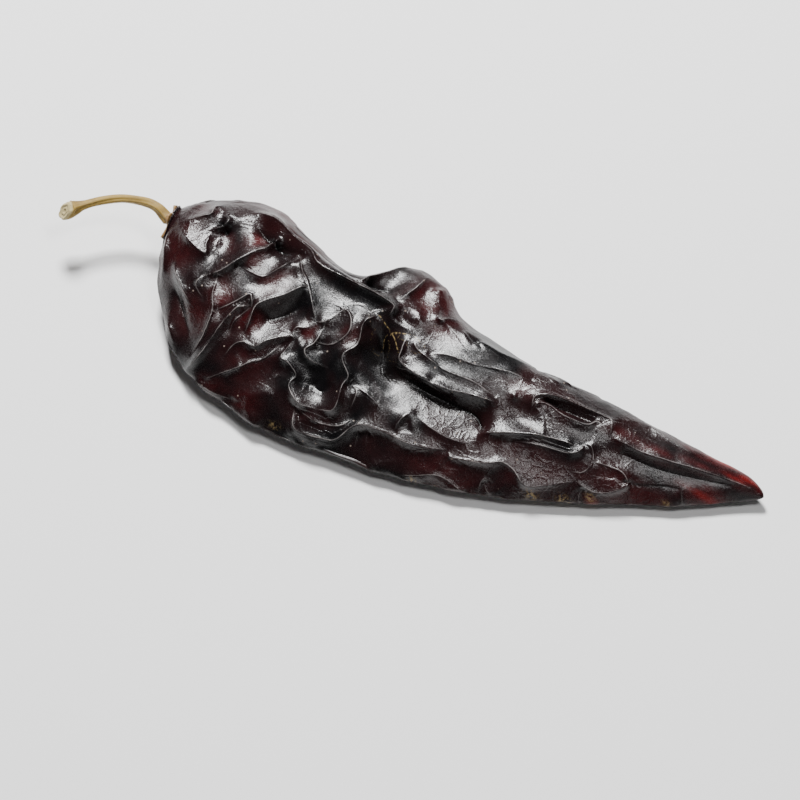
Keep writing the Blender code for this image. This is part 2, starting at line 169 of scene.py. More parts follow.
# Deep-red places of the skin: strength, radius along, radius across, x, y.
RED_PLACES = (
    (0.55, 9, 4, -48.8, 11.7), (0.5, 3, 2.6, -63.8, 0.6), (0.75, 3.2, 2.4, -56.4, 3.2),
    (0.5, 3, 2.6, -54.1, -1.1), (0.6, 4, 4.5, -47.0, -5.5), (0.7, 3, 3.5, -58.1, -12.8),
    (0.6, 3, 3, -48.6, -15.7), (0.55, 8, 6, -9.8, 7.6), (0.6, 2.4, 2.4, -34.1, -12.3),
    (0.6, 2.4, 2.4, -24.6, -9.7), (0.6, 5, 1.8, 45.6, -2.5), (0.7, 6, 2, 54.8, -2.7),
    (0.8, 6, 1.8, 65.9, -0.9), (0.8, 5, 2, 74.9, 1.3), (0.8, 9, 2.2, 65.9, 3.6),
    (0.9, 5, 2.4, 78.0, 2.6), (0.5, 12, 4, 53.8, -14.6), (0.6, 8, 3.2, 69.9, -6.7),
    (0.4, 5, 2.6, -4.8, 1.1), (0.45, 4, 2, 18.4, -3.0), (0.45, 5, 2.6, -52.3, -32.5),
    (0.45, 4, 2.6, -41.3, -32.4), (0.3, 5, 4, -72.6, 7.3), (0.4, 6, 4, -62.5, -19.0),
    (0.3, 8, 5, -44.5, -24.0), (0.25, 10, 5, 29.7, -19.4), (0.3, 9, 4, 9.7, -29.3),
    (0.35, 6, 8, -72.6, -4.8),
    (0.7, 7.0, 2.4, 71.0, -5.6), (0.5, 12.0, 3.0, 56.0, -13.0), (0.6, 10.0, 2.4, -52.0, 15.5),
)
# Bright red, thin skin near the tip's edge: strength, radius along, radius across, x, y.
BRIGHT_PLACES = (
    (0.42, 3.0, 1.0, 77.5, 2.9), (0.55, 6.0, 0.8, 71.0, 4.5), (0.2, 3, 0.7, 73.9, 1.0),
    (0.06, 2.4, 1.6, -56.4, 3.5), (0.15, 1.4, 1.0, -20.5, 17.1), (0.25, 1.6, 1.0, 45.5, -19.2),
    (0.3, 6.0, 0.8, 71.0, -6.2),
)

# Dry straw-coloured cracks: routes in plan.
CRACKS = (
    ((-19.7, -2.2), (-17.4, -3.4), (-16.0, -4.2), (-14.4, -5.4), (-12.6, -7.6)),
    ((-16.0, -4.2), (-14.2, -3.7), (-12.6, -3.4), (-10.6, -2.9), (-8.4, -3.7)),
    ((-16.0, -4.2), (-17.0, -5.6), (-16.8, -7.4)),
)
# Small straw-coloured scars near the rim: strength, radius along, radius across, x, y.
SCARS = (
    (0.9, 1.6, 0.9, 31.7, -24.3), (1.0, 1.8, 1.0, 39.4, -22.1), (0.8, 1.2, 0.8, 44.7, -18.6),
    (0.7, 1.0, 0.7, 3.6, -33.2), (0.6, 1.2, 0.6, 62.0, -11.6), (0.5, 1.4, 0.6, -33.0, -34.8),
)

# Networks of seeded creases: cell size and ridge height in mm, pull between ridges, seed.
COARSE_NET = (11.0, 2.6, .05, 7)
FINE_NET = (4.6, .28, .05, 19)
# How much more the fine net is raised near the rims and below them.
RIM_CRUMPLE = 1.5
# How far the skin between the creases has sunk in, and how much further at the rims, in mm.
SINK = 1.25
RIM_SINK = 0.5
# Half widths of the ridges of the coarse and the fine net, and how far the coarse net keeps from drawn
# creases, in mm.
COARSE_WIDTH = 0.55
FINE_WIDTH = 0.5
NET_CLEARANCE = 4.5
# Reach of a crease into the skin beside it, in mm.
STIFFNESS = 5.0
# Most creases lean: at this distance the steep side of a crease of this height falls by this much, and
# comes back slowly, in mm.
LEAN_REACH = 2.2
LEAN_HEIGHT = 2.4
LEAN_DROP = 0.95
# Half width of a crease's sharp top, and of the line that is held at its height, in mm.
CREST_REACH = 0.42
HELD_WIDTH = 0.3
# Reach of a crease's marks, which paint a highlight on a ridge's top and shade in a groove in the skin's
# colour and raise a fold in its bump, and the height of a fully marked crease, in mm.
MARK_REACH = 1.2
MARK_HEIGHT = 2.2
# Spacing of a route's points, and how far a crease takes to rise from either end, in mm.
ROUTE_STEP = 0.2
ROUTE_FADE = 3.5
# Unevenness of a crease's height along it: share, and pace in mm.
ROUTE_WAVE = 0.16
WAVE_PACE = 2.1
# How far from its route a crease is felt at most, in mm.
ROUTE_MARGIN = 9
# The skin's values hold the way to a crease or crack up to this, in mm.
OFFSET_LIMIT = 3.0
# Plan direction that the steep sides face.
LEAN_TOWARDS = (.6, -.8)
# Share of the drawn heights that the creases get, and the length of the nets' cells for their width.
CREASE_GAIN = 0.95
CELL_STRETCH = 1.6

# Skin above this height is squeezed smoothly into the room over it, in mm.
HIGH_START = 18.9
HIGH_ROOM = 1.5

# The flat spot that the pod rests on: its middle in plan, its radius and how fast it fades, in mm.
REST_X = -14.0
REST_Y = -12.0
REST_RADIUS = 9.0
REST_FADE = 6
# The creases run on round the rims, over this share of the height of the turn below them.
ROUND_RIM = 0.4
# How much further the underside has sunk in, and how far it may stand out at its middle and more so at
# the rims, in mm.
UNDER_SINK = 1.3
UNDER_RISE = 0.4
UNDER_RIM_RISE = 2.4
# Share of the pod's length at the stem end that stays smooth, and the shares over which the crumpling
# fades in at the stem end and at the tip.
SMOOTH_END = 0.072
STEM_END_FADE = 0.05
TIP_FADE = 0.10
# The crumpling gets weaker towards the slim tip: where it would end, over what length, and its least share.
SLIM_X = 96
SLIM_LENGTH = 80
SLIM_LEAST = 0.25
# Painted shade darkens the skin from this depth and over this much more, in mm.
DARK_DEPTH = 1.2
DARK_RANGE = 3.0
# The turn where the far side starts to get dull, and over how much of a turn.
DULL_TURN = 0.33
DULL_RANGE = 0.12

# x, y, z of the stem's centre line from the calyx to the cut end, and its radius, in mm.
STEM_ROUTE = np.array([
    (-80.6, 3.3, 11.7, 1.60),
    (-82.0, 3.9, 12.1, 1.45),
    (-84.0, 4.6, 12.8, 1.32),
    (-86.3, 4.8, 13.1, 1.20),
    (-89.2, 4.3, 13.2, 1.10),
    (-93.3, 2.9, 13.2, 1.02),
    (-97.4, 0.2, 13.2, 1.05),
    (-100.8, -2.9, 13.2, 1.15),
    (-102.3, -4.5, 13.2, 1.70),
    (-103.2, -5.4, 13.2, 2.10),
    (-104.2, -6.4, 13.2, 1.90),
])
# Points round the stem, rings along it, and its lengthwise ridges: how many, and their share of the radius.
STEM_SIDES = 80
STEM_STEPS = 260
STEM_RIDGES = 5
STEM_RIDGE = 0.07
# How far the cut at the stem's end leans back for each mm of its height, and the shares of the stem where
# that starts and over which it grows.
CUT_SLANT = 0.8
SLANT_START = 0.84
SLANT_RANGE = 0.12
# The calyx: its reach as a share of the pod's length, its lobes and how far they reach, its thickness at
# the middle, flare and gap from the skin in mm, and its rings.
CALYX_REACH = 0.085
CALYX_LOBES = 5
CALYX_LOBE = 0.22
CALYX_THICKNESS = 1.2
CALYX_FLARE = -0.3
CALYX_GAP = 0.5
CALYX_RINGS = 28
# How much the lobes on one side are shorter, and the turn of that side, in radians.
CALYX_SHORT = 0.22
CALYX_SHORT_TURN = 0.6
# Rings of the cut face at the stem's end, of the stem before it that are coloured like it, and over how
# many that fades in.
CUT_RINGS = 12
CUT_EDGE_RINGS = 14
CUT_FADE = 12
# Rings at the stem's foot that are coloured like the calyx, and over how many that fades.
FOOT_RINGS = 14
FOOT_FADE = 18

# The camera's compass angle and height angle, the width of its view in metres, its lens and sensor in mm.
AZIMUTH = np.radians(26.0)
ELEVATION = np.radians(60.0)
FRAME_WIDTH = 0.196
LENS = 300.0
SENSOR = 36.0
# Image centre, in metres right of and above the drawing frame's origin.
AIM_RIGHT = -0.01397
AIM_UP = -0.00539
WORLD_STRENGTH = 0.03
# Soft lights, aimed at the middle: name, place and size in metres, power in watts.
LIGHTS = (
    ("window", (-0.36, 0.50, 0.83), 0.23, 29.0),
    ("top", (0.30, 0.02, 1.05), 0.26, 4.0),
    ("fill", (0.7, -0.8, 0.5), 0.4, 0.8),
)


def unit(vectors):
    """The vectors of an array, each of length 1."""
    return vectors / np.maximum(np.linalg.norm(vectors, axis=-1, keepdims=True), 1e-9)


def spline(rows, t, round_ends=False):
    """Smooth curve through the rows of a table, t from 0 to 1. Round ends close like a dome."""
    last = len(rows) - 1
    place = np.clip(np.asarray(t, float) * last, 0, last - 1e-9)
    i = place.astype(int)
    f = (place - i)[..., None]
    ends = np.vstack([2 * rows[0] - rows[1], rows, 2 * rows[-1] - rows[-2]])
    if round_ends:
        ends[0, 0] = rows[1, 0]
        ends[-1, 0] = rows[-2, 0]
    a, b, c, d = ends[i], ends[i + 1], ends[i + 2], ends[i + 3]
    cubic = 2 * b + (c - a) * f
    cubic = cubic + (2 * a - 5 * b + 4 * c - d) * f**2
    cubic = cubic + (3 * b - a - 3 * c + d) * f**3
    return cubic / 2


def pod_form(t, turn):
    """Smooth pod: t along it, turn from 0 at the near rim over the top to 0.5, then below."""
    rows = np.moveaxis(spline(SECTIONS, t, round_ends=True), -1, 0)
    x, near, far, crest, top, rim_near, rim_far, under = rows
    angle = 2 * np.pi * turn
    across = -np.cos(angle)
    rise = np.abs(np.sin(angle))
    power = np.where(across < 0, NEAR_POWER, FAR_POWER)
    bent = np.sign(across) * np.abs(across) ** (2 / power)
    inset = FAR_INSET * np.clip((far - crest) / INSET_WIDTH, 0, 1)
    reach = np.where(across < 0, crest - near, far - crest - inset)
    y_top = crest + reach * bent
    rim = np.where(across < 0, rim_near, rim_far)
    z_top = rim + (top - rim) * rise ** (2 / power)
    y_low = (near + far - inset) / 2 + (far - inset - near) / 2 * across
    share = 0.5 + 0.5 * across
    rim_low = rim_near * (1 - share) + rim_far * share
    z_low = under + (rim_low - under) * np.clip(1 - UNDER_FALL * rise, 0, None)
    above = turn <= 0.5
    y = np.where(above, y_top, y_low)
    z = np.where(above, z_top, z_low)
    return np.stack([x, y, z], -1)


def even_shares(count):
    """Shares of the pod's length whose rings lie evenly along its skin."""
    fine = np.linspace(0, 1, 801)
    around = np.linspace(0, 1, 24, endpoint=False)
    t, turn = np.meshgrid(fine, around, indexing="ij")
    step = np.linalg.norm(np.diff(pod_form(t, turn), axis=0), axis=-1).mean(axis=1)
    length = np.concatenate([[0], np.cumsum(step)])
    return np.interp((np.arange(count) + 0.5) / count * length[-1], length, fine)


def neighbours(values):
    """Sum of the four neighbours' values in a grid of rings."""
    sides = np.roll(values, 1, axis=1) + np.roll(values, -1, axis=1)
    ends = np.concatenate([values[:1], values[:-1]]) + np.concatenate([values[1:], values[-1:]])
    return sides + ends


def grid_normals(points):
    """Outward directions of a grid of rings, smoothed a little."""
    along = np.gradient(points, axis=0)
    round_it = (np.roll(points, -1, axis=1) - np.roll(points, 1, axis=1)) / 2
    out = unit(np.cross(along, round_it))
    for _ in range(6):
        out = unit(out + 0.5 * neighbours(out))
    return out


def pool(values, mask, stride):
    """Mean of the masked values in blocks of a grid, and which blocks have any."""
    rows, columns = values.shape
    shape = (rows // stride, stride, columns // stride, stride)
    count = mask.reshape(shape).sum(axis=(1, 3))
    total = (values * mask).reshape(shape).sum(axis=(1, 3))
    return total / np.maximum(count, 1), count > 0


def stretch(points, fixed, height, pull):
    """Heights of a skin that is stretched between the fixed places of a grid of rings and drawn inwards
    by the pull. Its stiffness limits how far from a fixed place that place's height is felt."""
    skin = None
    for stride, rounds in ((8, 240), (4, 240), (2, 240), (1, 160)):
        part = points[stride // 2 :: stride, stride // 2 :: stride]
        level, held = pool(height, fixed, stride)
        along = np.linalg.norm(np.gradient(part, axis=0), axis=-1)
        round_it = np.linalg.norm(np.roll(part, -1, axis=1) - part, axis=-1)
        least = 0.15 * stride
        weight_a = 1 / np.maximum(along, least) ** 2
        weight_r = 1 / np.maximum(round_it, least) ** 2
        whole = 2 * (weight_a + weight_r) + 1 / STIFFNESS**2
        if skin is None:
            skin = np.where(held, level, 0.0)
        else:
            skin = np.repeat(np.repeat(skin, 2, axis=0), 2, axis=1)
        for _ in range(rounds):
            skin = np.where(held, level, skin)
            ahead = np.concatenate([skin[1:], np.zeros_like(skin[:1])])
            behind = np.concatenate([np.zeros_like(skin[:1]), skin[:-1]])
            sides = np.roll(skin, 1, axis=1) + np.roll(skin, -1, axis=1)
            skin = (weight_a * (ahead + behind) + weight_r * sides - pull) / whole
        skin = np.where(held, level, skin)
    return skin


def soften(skin, times):
    """Heights smoothed with their neighbours' heights."""
    for _ in range(times):
        skin = 0.5 * skin + 0.125 * neighbours(skin)
    return skin


def cell_edges(points, cell, seed):
    """How far each point is from an edge between seeded cells, and an uneven value for that edge."""
    rng = np.random.default_rng(seed)
    flat = points.reshape(-1, 3) / np.array([CELL_STRETCH, 1, 1])
    low = flat.min(axis=0) - cell
    high = flat.max(axis=0) + cell
    count = int(np.prod(high - low) / cell**3)
    seeds = rng.uniform(low, high, (count, 3))
    uneven = rng.uniform(0.4, 1.3, count)
    tree = kdtree.KDTree(count)
    for i, place in enumerate(seeds):
        tree.insert(place, i)
    tree.balance()
    edge = np.empty(len(flat))
    value = np.empty(len(flat))
    for k, point in enumerate(flat):
        (_, i, first), (_, j, second) = tree.find_n(point, 2)
        edge[k] = second - first
        value[k] = (uneven[i] + uneven[j]) / 2
    return edge.reshape(points.shape[:-1]), value.reshape(points.shape[:-1])


def blobs(plan, places):
    """The strongest of the soft oval spots at each place in plan."""
    total = np.zeros(plan.shape[:-1])
    for strength, along, across, x, y in places:
        q = ((plan[..., 0] - x) / along) ** 2 + ((plan[..., 1] - y) / across) ** 2
        total = np.maximum(total, strength * np.exp(-(q**1.2)))
    return total


def nearest(points, curve):
    """For each point the nearest place on a curve, the way from there to the point, and its length."""
    gap = points[:, None, :] - curve[None]
    far = np.hypot(gap[..., 0], gap[..., 1])
    pick = far.argmin(axis=1)
    each = np.arange(len(points))
    return pick, gap[each, pick], far[each, pick]


def crease_lines(plan, used):
    """The drawn creases on the grid: the places that they hold and their heights there, how near their
    sharp tops are and those tops' heights, the drop beside leaning creases, the way to the nearest crease,
    the same signed by its side, and the mark that a crease leaves, which paints a highlight along a
    ridge's top and shade along a groove in the colour and raises a fold in the bump, negative for a groove."""
    upper = np.flatnonzero(used)
    flat = plan.reshape(-1, 2)
    fixed = np.zeros(len(flat), bool)
    height, top, top_height, drop, line = np.zeros((5, len(flat)))
    away = np.full(len(flat), 99.0)
    offset = np.full(len(flat), OFFSET_LIMIT)
    for level, route in CREASES:
        level = level * CREASE_GAIN
        route = np.array(route, float)
        length = np.linalg.norm(np.diff(route, axis=0), axis=1).sum()
        share = np.linspace(0, 1, max(int(length / ROUTE_STEP), 8))
        curve = spline(route, share)
        wave = 1 + ROUTE_WAVE * np.sin(share * length / WAVE_PACE + 5 * level)
        taper = np.clip(np.minimum(share, 1 - share) * length / ROUTE_FADE, 0, 1)
        tall = level * wave * (0.45 + 0.55 * taper)
        along = np.gradient(curve, axis=0)
        side = unit(np.stack([along[:, 1], -along[:, 0]], -1))
        facing = side @ np.array(LEAN_TOWARDS)
        low = curve.min(axis=0) - ROUTE_MARGIN
        high = curve.max(axis=0) + ROUTE_MARGIN
        near = upper[np.all((flat[upper] > low) & (flat[upper] < high), axis=1)]
        pick, gap, far = nearest(flat[near], curve)
        across = (gap * side[pick]).sum(axis=1)
        closer = far < away[near]
        away[near] = np.minimum(away[near], far)
        signed = np.clip(far, 0, OFFSET_LIMIT) * np.where(across < 0, -1, 1)
        offset[near[closer]] = signed[closer]
        strength = min(abs(level) / MARK_HEIGHT, 1)
        mark = np.sign(level) * taper[pick] * np.exp(-((far / MARK_REACH) ** 2)) * strength
        line[near[closer]] = mark[closer]
        held = far < HELD_WIDTH
        fixed[near[held]] = True
        height[near[held]] = tall[pick][held]
        sharp = np.exp(-((far / CREST_REACH) ** 2)) * (0.25 + 0.75 * taper[pick])
        better = sharp > top[near]
        top_height[near[better]] = tall[pick][better]
        top[near[better]] = sharp[better]
        if level > 0:
            ahead = np.clip(across * np.sign(facing[pick]), 0, None) / LEAN_REACH
            steep = ahead * np.exp(1 - ahead)
            lean = LEAN_DROP * np.clip(np.abs(facing[pick]) * 1.4, 0, 1)
            drop[near] = np.maximum(drop[near], lean * taper[pick] * steep * level / LEAN_HEIGHT)
    fields = (fixed, height, top, top_height, drop, away, offset, line)
    return [field.reshape(used.shape) for field in fields]


def crack_offset(plan):
    """Signed way to the nearest dry crack, in mm."""
    flat = plan.reshape(-1, 2)
    away = np.full(len(flat), OFFSET_LIMIT)
    signed = np.full(len(flat), OFFSET_LIMIT)
    for route in CRACKS:
        curve = spline(np.array(route), np.linspace(0, 1, 60))
        along = np.gradient(curve, axis=0)
        near = np.flatnonzero(np.all(np.abs(flat - curve.mean(axis=0)) < ROUTE_MARGIN, axis=1))
        pick, gap, far = nearest(flat[near], curve)
        left = along[pick, 0] * gap[:, 1] - along[pick, 1] * gap[:, 0]
        closer = far < away[near]
        away[near[closer]] = far[closer]
        signed[near[closer]] = (far * np.where(left < 0, -1, 1))[closer]
    return signed.reshape(plan.shape[:-1])


def patches(plan):
    """Uneven strength of the fine net in plan."""
    phase = np.random.default_rng(3).uniform(0, 6.28, 6)
    x, y = plan[..., 0], plan[..., 1]
    patchy = np.sin(x / 7 + phase[0]) * np.sin(y / 5 + phase[1])
    return patchy + 0.6 * np.sin(x / 3.3 + phase[2] + y / 4.1)


def pod_skin():
    """Points of the crumpled pod in mm, with the values that its material reads."""
    t = even_shares(RINGS)
    upper = np.linspace(0, 0.5, UPPER_POINTS, endpoint=False)
    lower = np.linspace(0.5, 1, LOWER_POINTS, endpoint=False)
    t, turn = np.meshgrid(t, np.concatenate([upper, lower]), indexing="ij")
    form = pod_form(t, turn)
    plan = form[..., :2]
    above = turn <= 0.5
    out = grid_normals(form)
    rim = np.abs(np.sin(2 * np.pi * turn))
    round_rim = np.where(above, 1, np.clip(1 - rim / ROUND_RIM, 0, 1))
    fixed, height, top, top_height, drop, away, offset, line = crease_lines(plan, round_rim > 0)
    fixed = fixed & (round_rim > 0.5)
    top = top * round_rim
    drop = drop * round_rim

    cell, ridge, pull, seed = COARSE_NET
    edge, uneven = cell_edges(form, cell, seed)
    free = (edge < COARSE_WIDTH) & (away > NET_CLEARANCE)
    height = np.where(free & ~fixed, ridge * uneven - 0.6, height)
    large = soften(stretch(form, fixed | free, height, pull), 2)
    large = large * (1 - top) + top_height * top - drop

    cell, ridge, pull, seed = FINE_NET
    edge, uneven = cell_edges(form, cell, seed)
    small = soften(stretch(form, edge < FINE_WIDTH, ridge * uneven, pull), 1)
    rims = np.where(above, np.clip((0.55 - rim) / 0.45, 0, 1), 1)
    small = small * (np.clip(0.55 + 0.5 * patches(plan), 0.12, 1.2) + RIM_CRUMPLE * rims)

    fade_in = (t - SMOOTH_END) / STEM_END_FADE
    ends = np.clip(np.minimum(fade_in, (1 - t) / TIP_FADE), 0, 1) ** 0.6
    slim = np.clip((SLIM_X - plan[..., 0]) / SLIM_LENGTH, SLIM_LEAST, 1)
    raised = large * (0.6 + 0.4 * rim) + small - SINK - RIM_SINK * (1 - rim)
    raised = raised - np.where(above, blobs(plan, HOLLOWS), 0)
    raised = raised + blobs(plan, SWELLS) * np.where(above, 1, round_rim)
    spot = np.hypot(plan[..., 0] - REST_X, plan[..., 1] - REST_Y)
    flat = np.clip((spot - REST_RADIUS) / REST_FADE, 0, 1)
    most = UNDER_RISE + UNDER_RIM_RISE * round_rim
    below = np.minimum(raised - UNDER_SINK * (1 - round_rim), most)
    below = below * np.where(rim > 0.8, flat, 1)
    height = np.where(above, raised, below) * ends * slim
    points = form + out * height[..., None]
    points[..., 2] = np.maximum(points[..., 2], 0)
    above_limit = np.clip(points[..., 2] - HIGH_START, 0, None)
    points[..., 2] -= above_limit - HIGH_ROOM * np.tanh(above_limit / HIGH_ROOM)

    red = blobs(plan, RED_PLACES) * np.clip(0.25 + away / 1.6, 0, 1)
    values = {
        "red": np.where(above, red, 0.3 * (uneven - 0.3)),
        "bright": np.where(above, blobs(plan, BRIGHT_PLACES), 0),
        "crack": np.where(above, crack_offset(plan), OFFSET_LIMIT),
        "scar": blobs(plan, SCARS) * np.where(rim < 0.6, 1, 0),
        "offset": offset,
        # crease marks: painted highlight on ridge tops, painted shade in grooves, and folds in the bump
        "line": line * round_rim * np.clip(ends * 1.5, 0, 1),
        # painted shade where the skin has sunk in
        "depth": np.clip((-DARK_DEPTH - height) / DARK_RANGE, 0, 1),
        "dull": np.where(above, np.clip((turn - DULL_TURN) / DULL_RANGE, 0, 1), 1.0),
    }
    return points, values


def place_of_drawing():
    """Where the drawing frame's origin lies in the row frame, in mm, from the pod's tip."""
    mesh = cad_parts["pod"].data
    tip = max((v.co for v in mesh.vertices), key=lambda p: p.x)
    return SECTIONS[-1, [0, 1, 4]] - np.array(tip) / MM


def ring_mesh(name, rings, first, last, values=None):
    """Closed mesh through rings of points, with a point at each end. Values go to its points."""
    count, sides = rings.shape[:2]
    flat = np.vstack([rings.reshape(-1, 3), [first, last]])
    i, j = np.meshgrid(np.arange(count - 1), np.arange(sides), indexing="ij")
    n = (j + 1) % sides
    quads = np.stack([i * sides + j, i * sides + n, (i + 1) * sides + n, (i + 1) * sides + j], -1)
    k = np.arange(sides)
    m = (k + 1) % sides
    top = (count - 1) * sides
    start = np.stack([np.full(sides, len(flat) - 2), m, k], -1)
    end = np.stack([np.full(sides, len(flat) - 1), top + k, top + m], -1)
    mesh = bpy.data.meshes.new(name)
    faces = quads.reshape(-1, 4).tolist() + start.tolist() + end.tolist()
    mesh.from_pydata(flat.tolist(), [], faces)
    for key, field in (values or {}).items():
        layer = mesh.attributes.new(key, "FLOAT", "POINT")
        ends = [field[0].mean(), field[-1].mean()]
        whole = np.concatenate([field.reshape(-1), ends])
        layer.data.foreach_set("value", whole.astype(np.float32))
    shape = bmesh.new()
    shape.from_mesh(mesh)
    bmesh.ops.recalc_face_normals(shape, faces=shape.faces[:])
    shape.to_mesh(mesh)
    shape.free()
    mesh.shade_smooth()
    made = bpy.data.objects.new(name, mesh)
    bpy.context.scene.collection.objects.link(made)
    return made


class Nodes:
    """Short calls to add and join a material's nodes."""

    def __init__(self, name):
        self.material = bpy.data.materials.new(name)
        self.material.use_nodes = True
        self.tree = self.material.node_tree
        self.shader = self.tree.nodes["Principled BSDF"]

    def add(self, kind, settings=None, **inputs):
        node = self.tree.nodes.new(kind)
        for key, value in (settings or {}).items():
            setattr(node, key, value)
        for key, value in inputs.items():
            self.put(node, key.replace("_", " "), value)
        return node

    def put(self, node, key, value):
        if isinstance(value, bpy.types.NodeSocket):
            self.tree.links.new(value, node.inputs[key])
        else:
            node.inputs[key].default_value = value

    def math(self, operation, a, b=0.0, clamp=False):
        node = self.add("ShaderNodeMath", {"operation": operation, "use_clamp": clamp})
        for index, value in enumerate((a, b)):
            self.put(node, index, value)
        return node.outputs[0]

    def value(self, name):
        return self.add("ShaderNodeAttribute", {"attribute_name": name}).outputs["Fac"]

    def ramp(self, factor, low, high, bottom=0.0, top=1.0):
        node = self.add("ShaderNodeMapRange", {"clamp": True}, Value=factor, From_Min=low, From_Max=high,
                        To_Min=bottom, To_Max=top)
        return node.outputs[0]

    def mix(self, factor, a, b):
        node = self.add("ShaderNodeMix", {"data_type": "RGBA"})
        self.put(node, 0, factor)
        self.put(node, 6, a)
        self.put(node, 7, b)
        return node.outputs[2]

    def noise(self, place, scale, detail=4.0, rough=0.5, warp=0.0):
        node = self.add("ShaderNodeTexNoise", Vector=place, Scale=scale, Detail=detail, Roughness=rough,
                        Distortion=warp)
        return node.outputs["Fac"]

    def finish(self, colour, rough, normal, specular):
        """Sets the shader's colour, roughness, normal if there is one, and specular level."""
        self.put(self.shader, "Base Color", colour)
        self.put(self.shader, "Roughness", rough)
        if normal is not None:
            self.put(self.shader, "Normal", normal)
        self.put(self.shader, "Specular IOR Level", specular)
        return self.material


def skin_material():
    """Dried chilli skin: near-black, deep red where it is thin, waxy, finely grained and dusty, with
    painted highlights on the ridge tops and painted shade in the grooves and sunken places.
    """
    n = Nodes("chilli_skin")
    place = n.add("ShaderNodeTexCoord").outputs["Object"]
    broad = n.noise(place, 55, 3, 0.55, 0.6)
    middle = n.noise(place, 210, 4, 0.6)
    fine = n.noise(place, 1500, 3, 0.65)
    finest = n.noise(place, 4200, 2, 0.6)
    line = n.value("line")
    offset = n.math("ABSOLUTE", n.value("offset"))
    char = (0.0032, 0.0028, 0.0032, 1)
    brown = (0.013, 0.0042, 0.0046, 1)
    deep = (0.052, 0.0024, 0.0034, 1)
    vivid = (0.34, 0.014, 0.010, 1)
    # Painted shade for the sunken places and the bottoms of the grooves.
    painted_shade = (0.002, 0.0015, 0.0015, 1)
    # Painted highlight for the tops of the ridges.
    painted_highlight = (0.25, 0.228, 0.222, 1)
    straw = (0.32, 0.23, 0.105, 1)
    dust = (0.34, 0.27, 0.22, 1)
    # Thin red places, then painted shade where the skin has sunk in.
    colour = n.mix(n.ramp(broad, 0.40, 0.66), char, brown)
    red = n.math("MULTIPLY", n.value("red"), n.ramp(middle, 0.30, 0.62, 0.25, 1.0), True)
    colour = n.mix(red, colour, deep)
    bright = n.math("MULTIPLY", n.value("bright"), n.ramp(middle, 0.3, 0.6, 0.3, 1), True)
    colour = n.mix(bright, colour, vivid)
    # Painted shade, darker where the skin has sunk in deeper.
    colour = n.mix(n.ramp(n.value("depth"), 0.35, 1.0, 0.0, 0.75), colour, painted_shade)
    # Painted highlight along the tops of the ridges, painted shade in the bottoms of the grooves.
    ridge_highlight = n.ramp(offset, 0.02, 0.16, 1.0, 0.0)
    ridge_highlight = n.math("MULTIPLY", ridge_highlight, n.math("MULTIPLY", line, 1.5, True))
    ridge_highlight = n.math("MULTIPLY", ridge_highlight, n.ramp(middle, 0.40, 0.60, 0.15, 1.0))
    colour = n.mix(n.math("MULTIPLY", ridge_highlight, 0.8), colour, painted_highlight)
    groove_shade = n.ramp(offset, 0.10, 0.45, 1.0, 0.0)
    groove_shade = n.math("MULTIPLY", groove_shade, n.math("MULTIPLY", line, -1.5, True))
    colour = n.mix(groove_shade, colour, painted_shade)
    # Dry cracks, scars and specks.
    crack = n.ramp(n.math("ABSOLUTE", n.value("crack")), 0.04, 0.17, 1.0, 0.0)
    crack = n.math("MULTIPLY", crack, n.ramp(fine, 0.46, 0.58, 0.0, 0.9))
    colour = n.mix(crack, colour, straw)
    scar = n.math("MULTIPLY", n.value("scar"), n.ramp(fine, 0.46, 0.56))
    colour = n.mix(n.math("MULTIPLY", scar, 0.8, True), colour, straw)
    cells = n.add("ShaderNodeTexVoronoi", Vector=place, Scale=620.0)
    chance = n.add("ShaderNodeSeparateColor", Color=cells.outputs["Color"]).outputs[0]
    speck = n.ramp(cells.outputs["Distance"], 0.10, 0.16, 1, 0)
    speck = n.math("MULTIPLY", speck, n.ramp(chance, 0.925, 0.93))
    colour = n.mix(n.math("MULTIPLY", speck, 0.5), colour, dust)
    # Waxy above, duller underneath and on the specks.
    grain = n.math("ADD", n.math("MULTIPLY", fine, 0.3), n.math("MULTIPLY", finest, 0.8))
    rough = n.ramp(middle, 0.3, 0.7, 0.18, 0.26)
    rough = n.math("ADD", rough, n.ramp(grain, 0.35, 0.70, -0.03, 0.08))
    rough = n.math("ADD", rough, n.math("MULTIPLY", n.value("dull"), 0.16))
    rough = n.math("ADD", rough, n.math("MULTIPLY", speck, 0.4), True)
    # Faint ripples, sharper creases, then grain and leathery crackle.
    wide = n.add("ShaderNodeBump", Strength=0.2, Distance=0.0005, Height=n.noise(place, 330, 3, 0.5, 0.4))
    fold = n.math("MULTIPLY", n.ramp(offset, 0.0, 0.5, 1.0, 0.0), line)
    folds = n.add("ShaderNodeBump", Strength=0.6, Distance=0.0003, Height=fold, Normal=wide.outputs[0])
    drift = n.add("ShaderNodeTexNoise", Vector=place, Scale=160.0).outputs["Color"]
    shift = n.add("ShaderNodeVectorMath", {"operation": "SCALE"}, Scale=0.004)
    n.put(shift, 0, drift)
    warped = n.add("ShaderNodeVectorMath", {"operation": "ADD"})
    n.put(warped, 0, place)
    n.put(warped, 1, shift.outputs[0])
    crackle = n.add("ShaderNodeTexVoronoi", {"feature": "DISTANCE_TO_EDGE"}, Vector=warped.outputs[0],
                    Scale=420.0)
    lines = n.ramp(crackle.outputs["Distance"], 0.0, 0.14, 1.0, 0.0)
    lines = n.math("MULTIPLY", lines, n.ramp(broad, 0.42, 0.62))
    relief = n.math("ADD", n.math("MULTIPLY", grain, 0.9), n.math("MULTIPLY", lines, 0.5))
    bump = n.add("ShaderNodeBump", Strength=0.55, Distance=0.00014, Height=relief, Normal=folds.outputs[0])
    return n.finish(colour, rough, bump.outputs[0], 0.5)


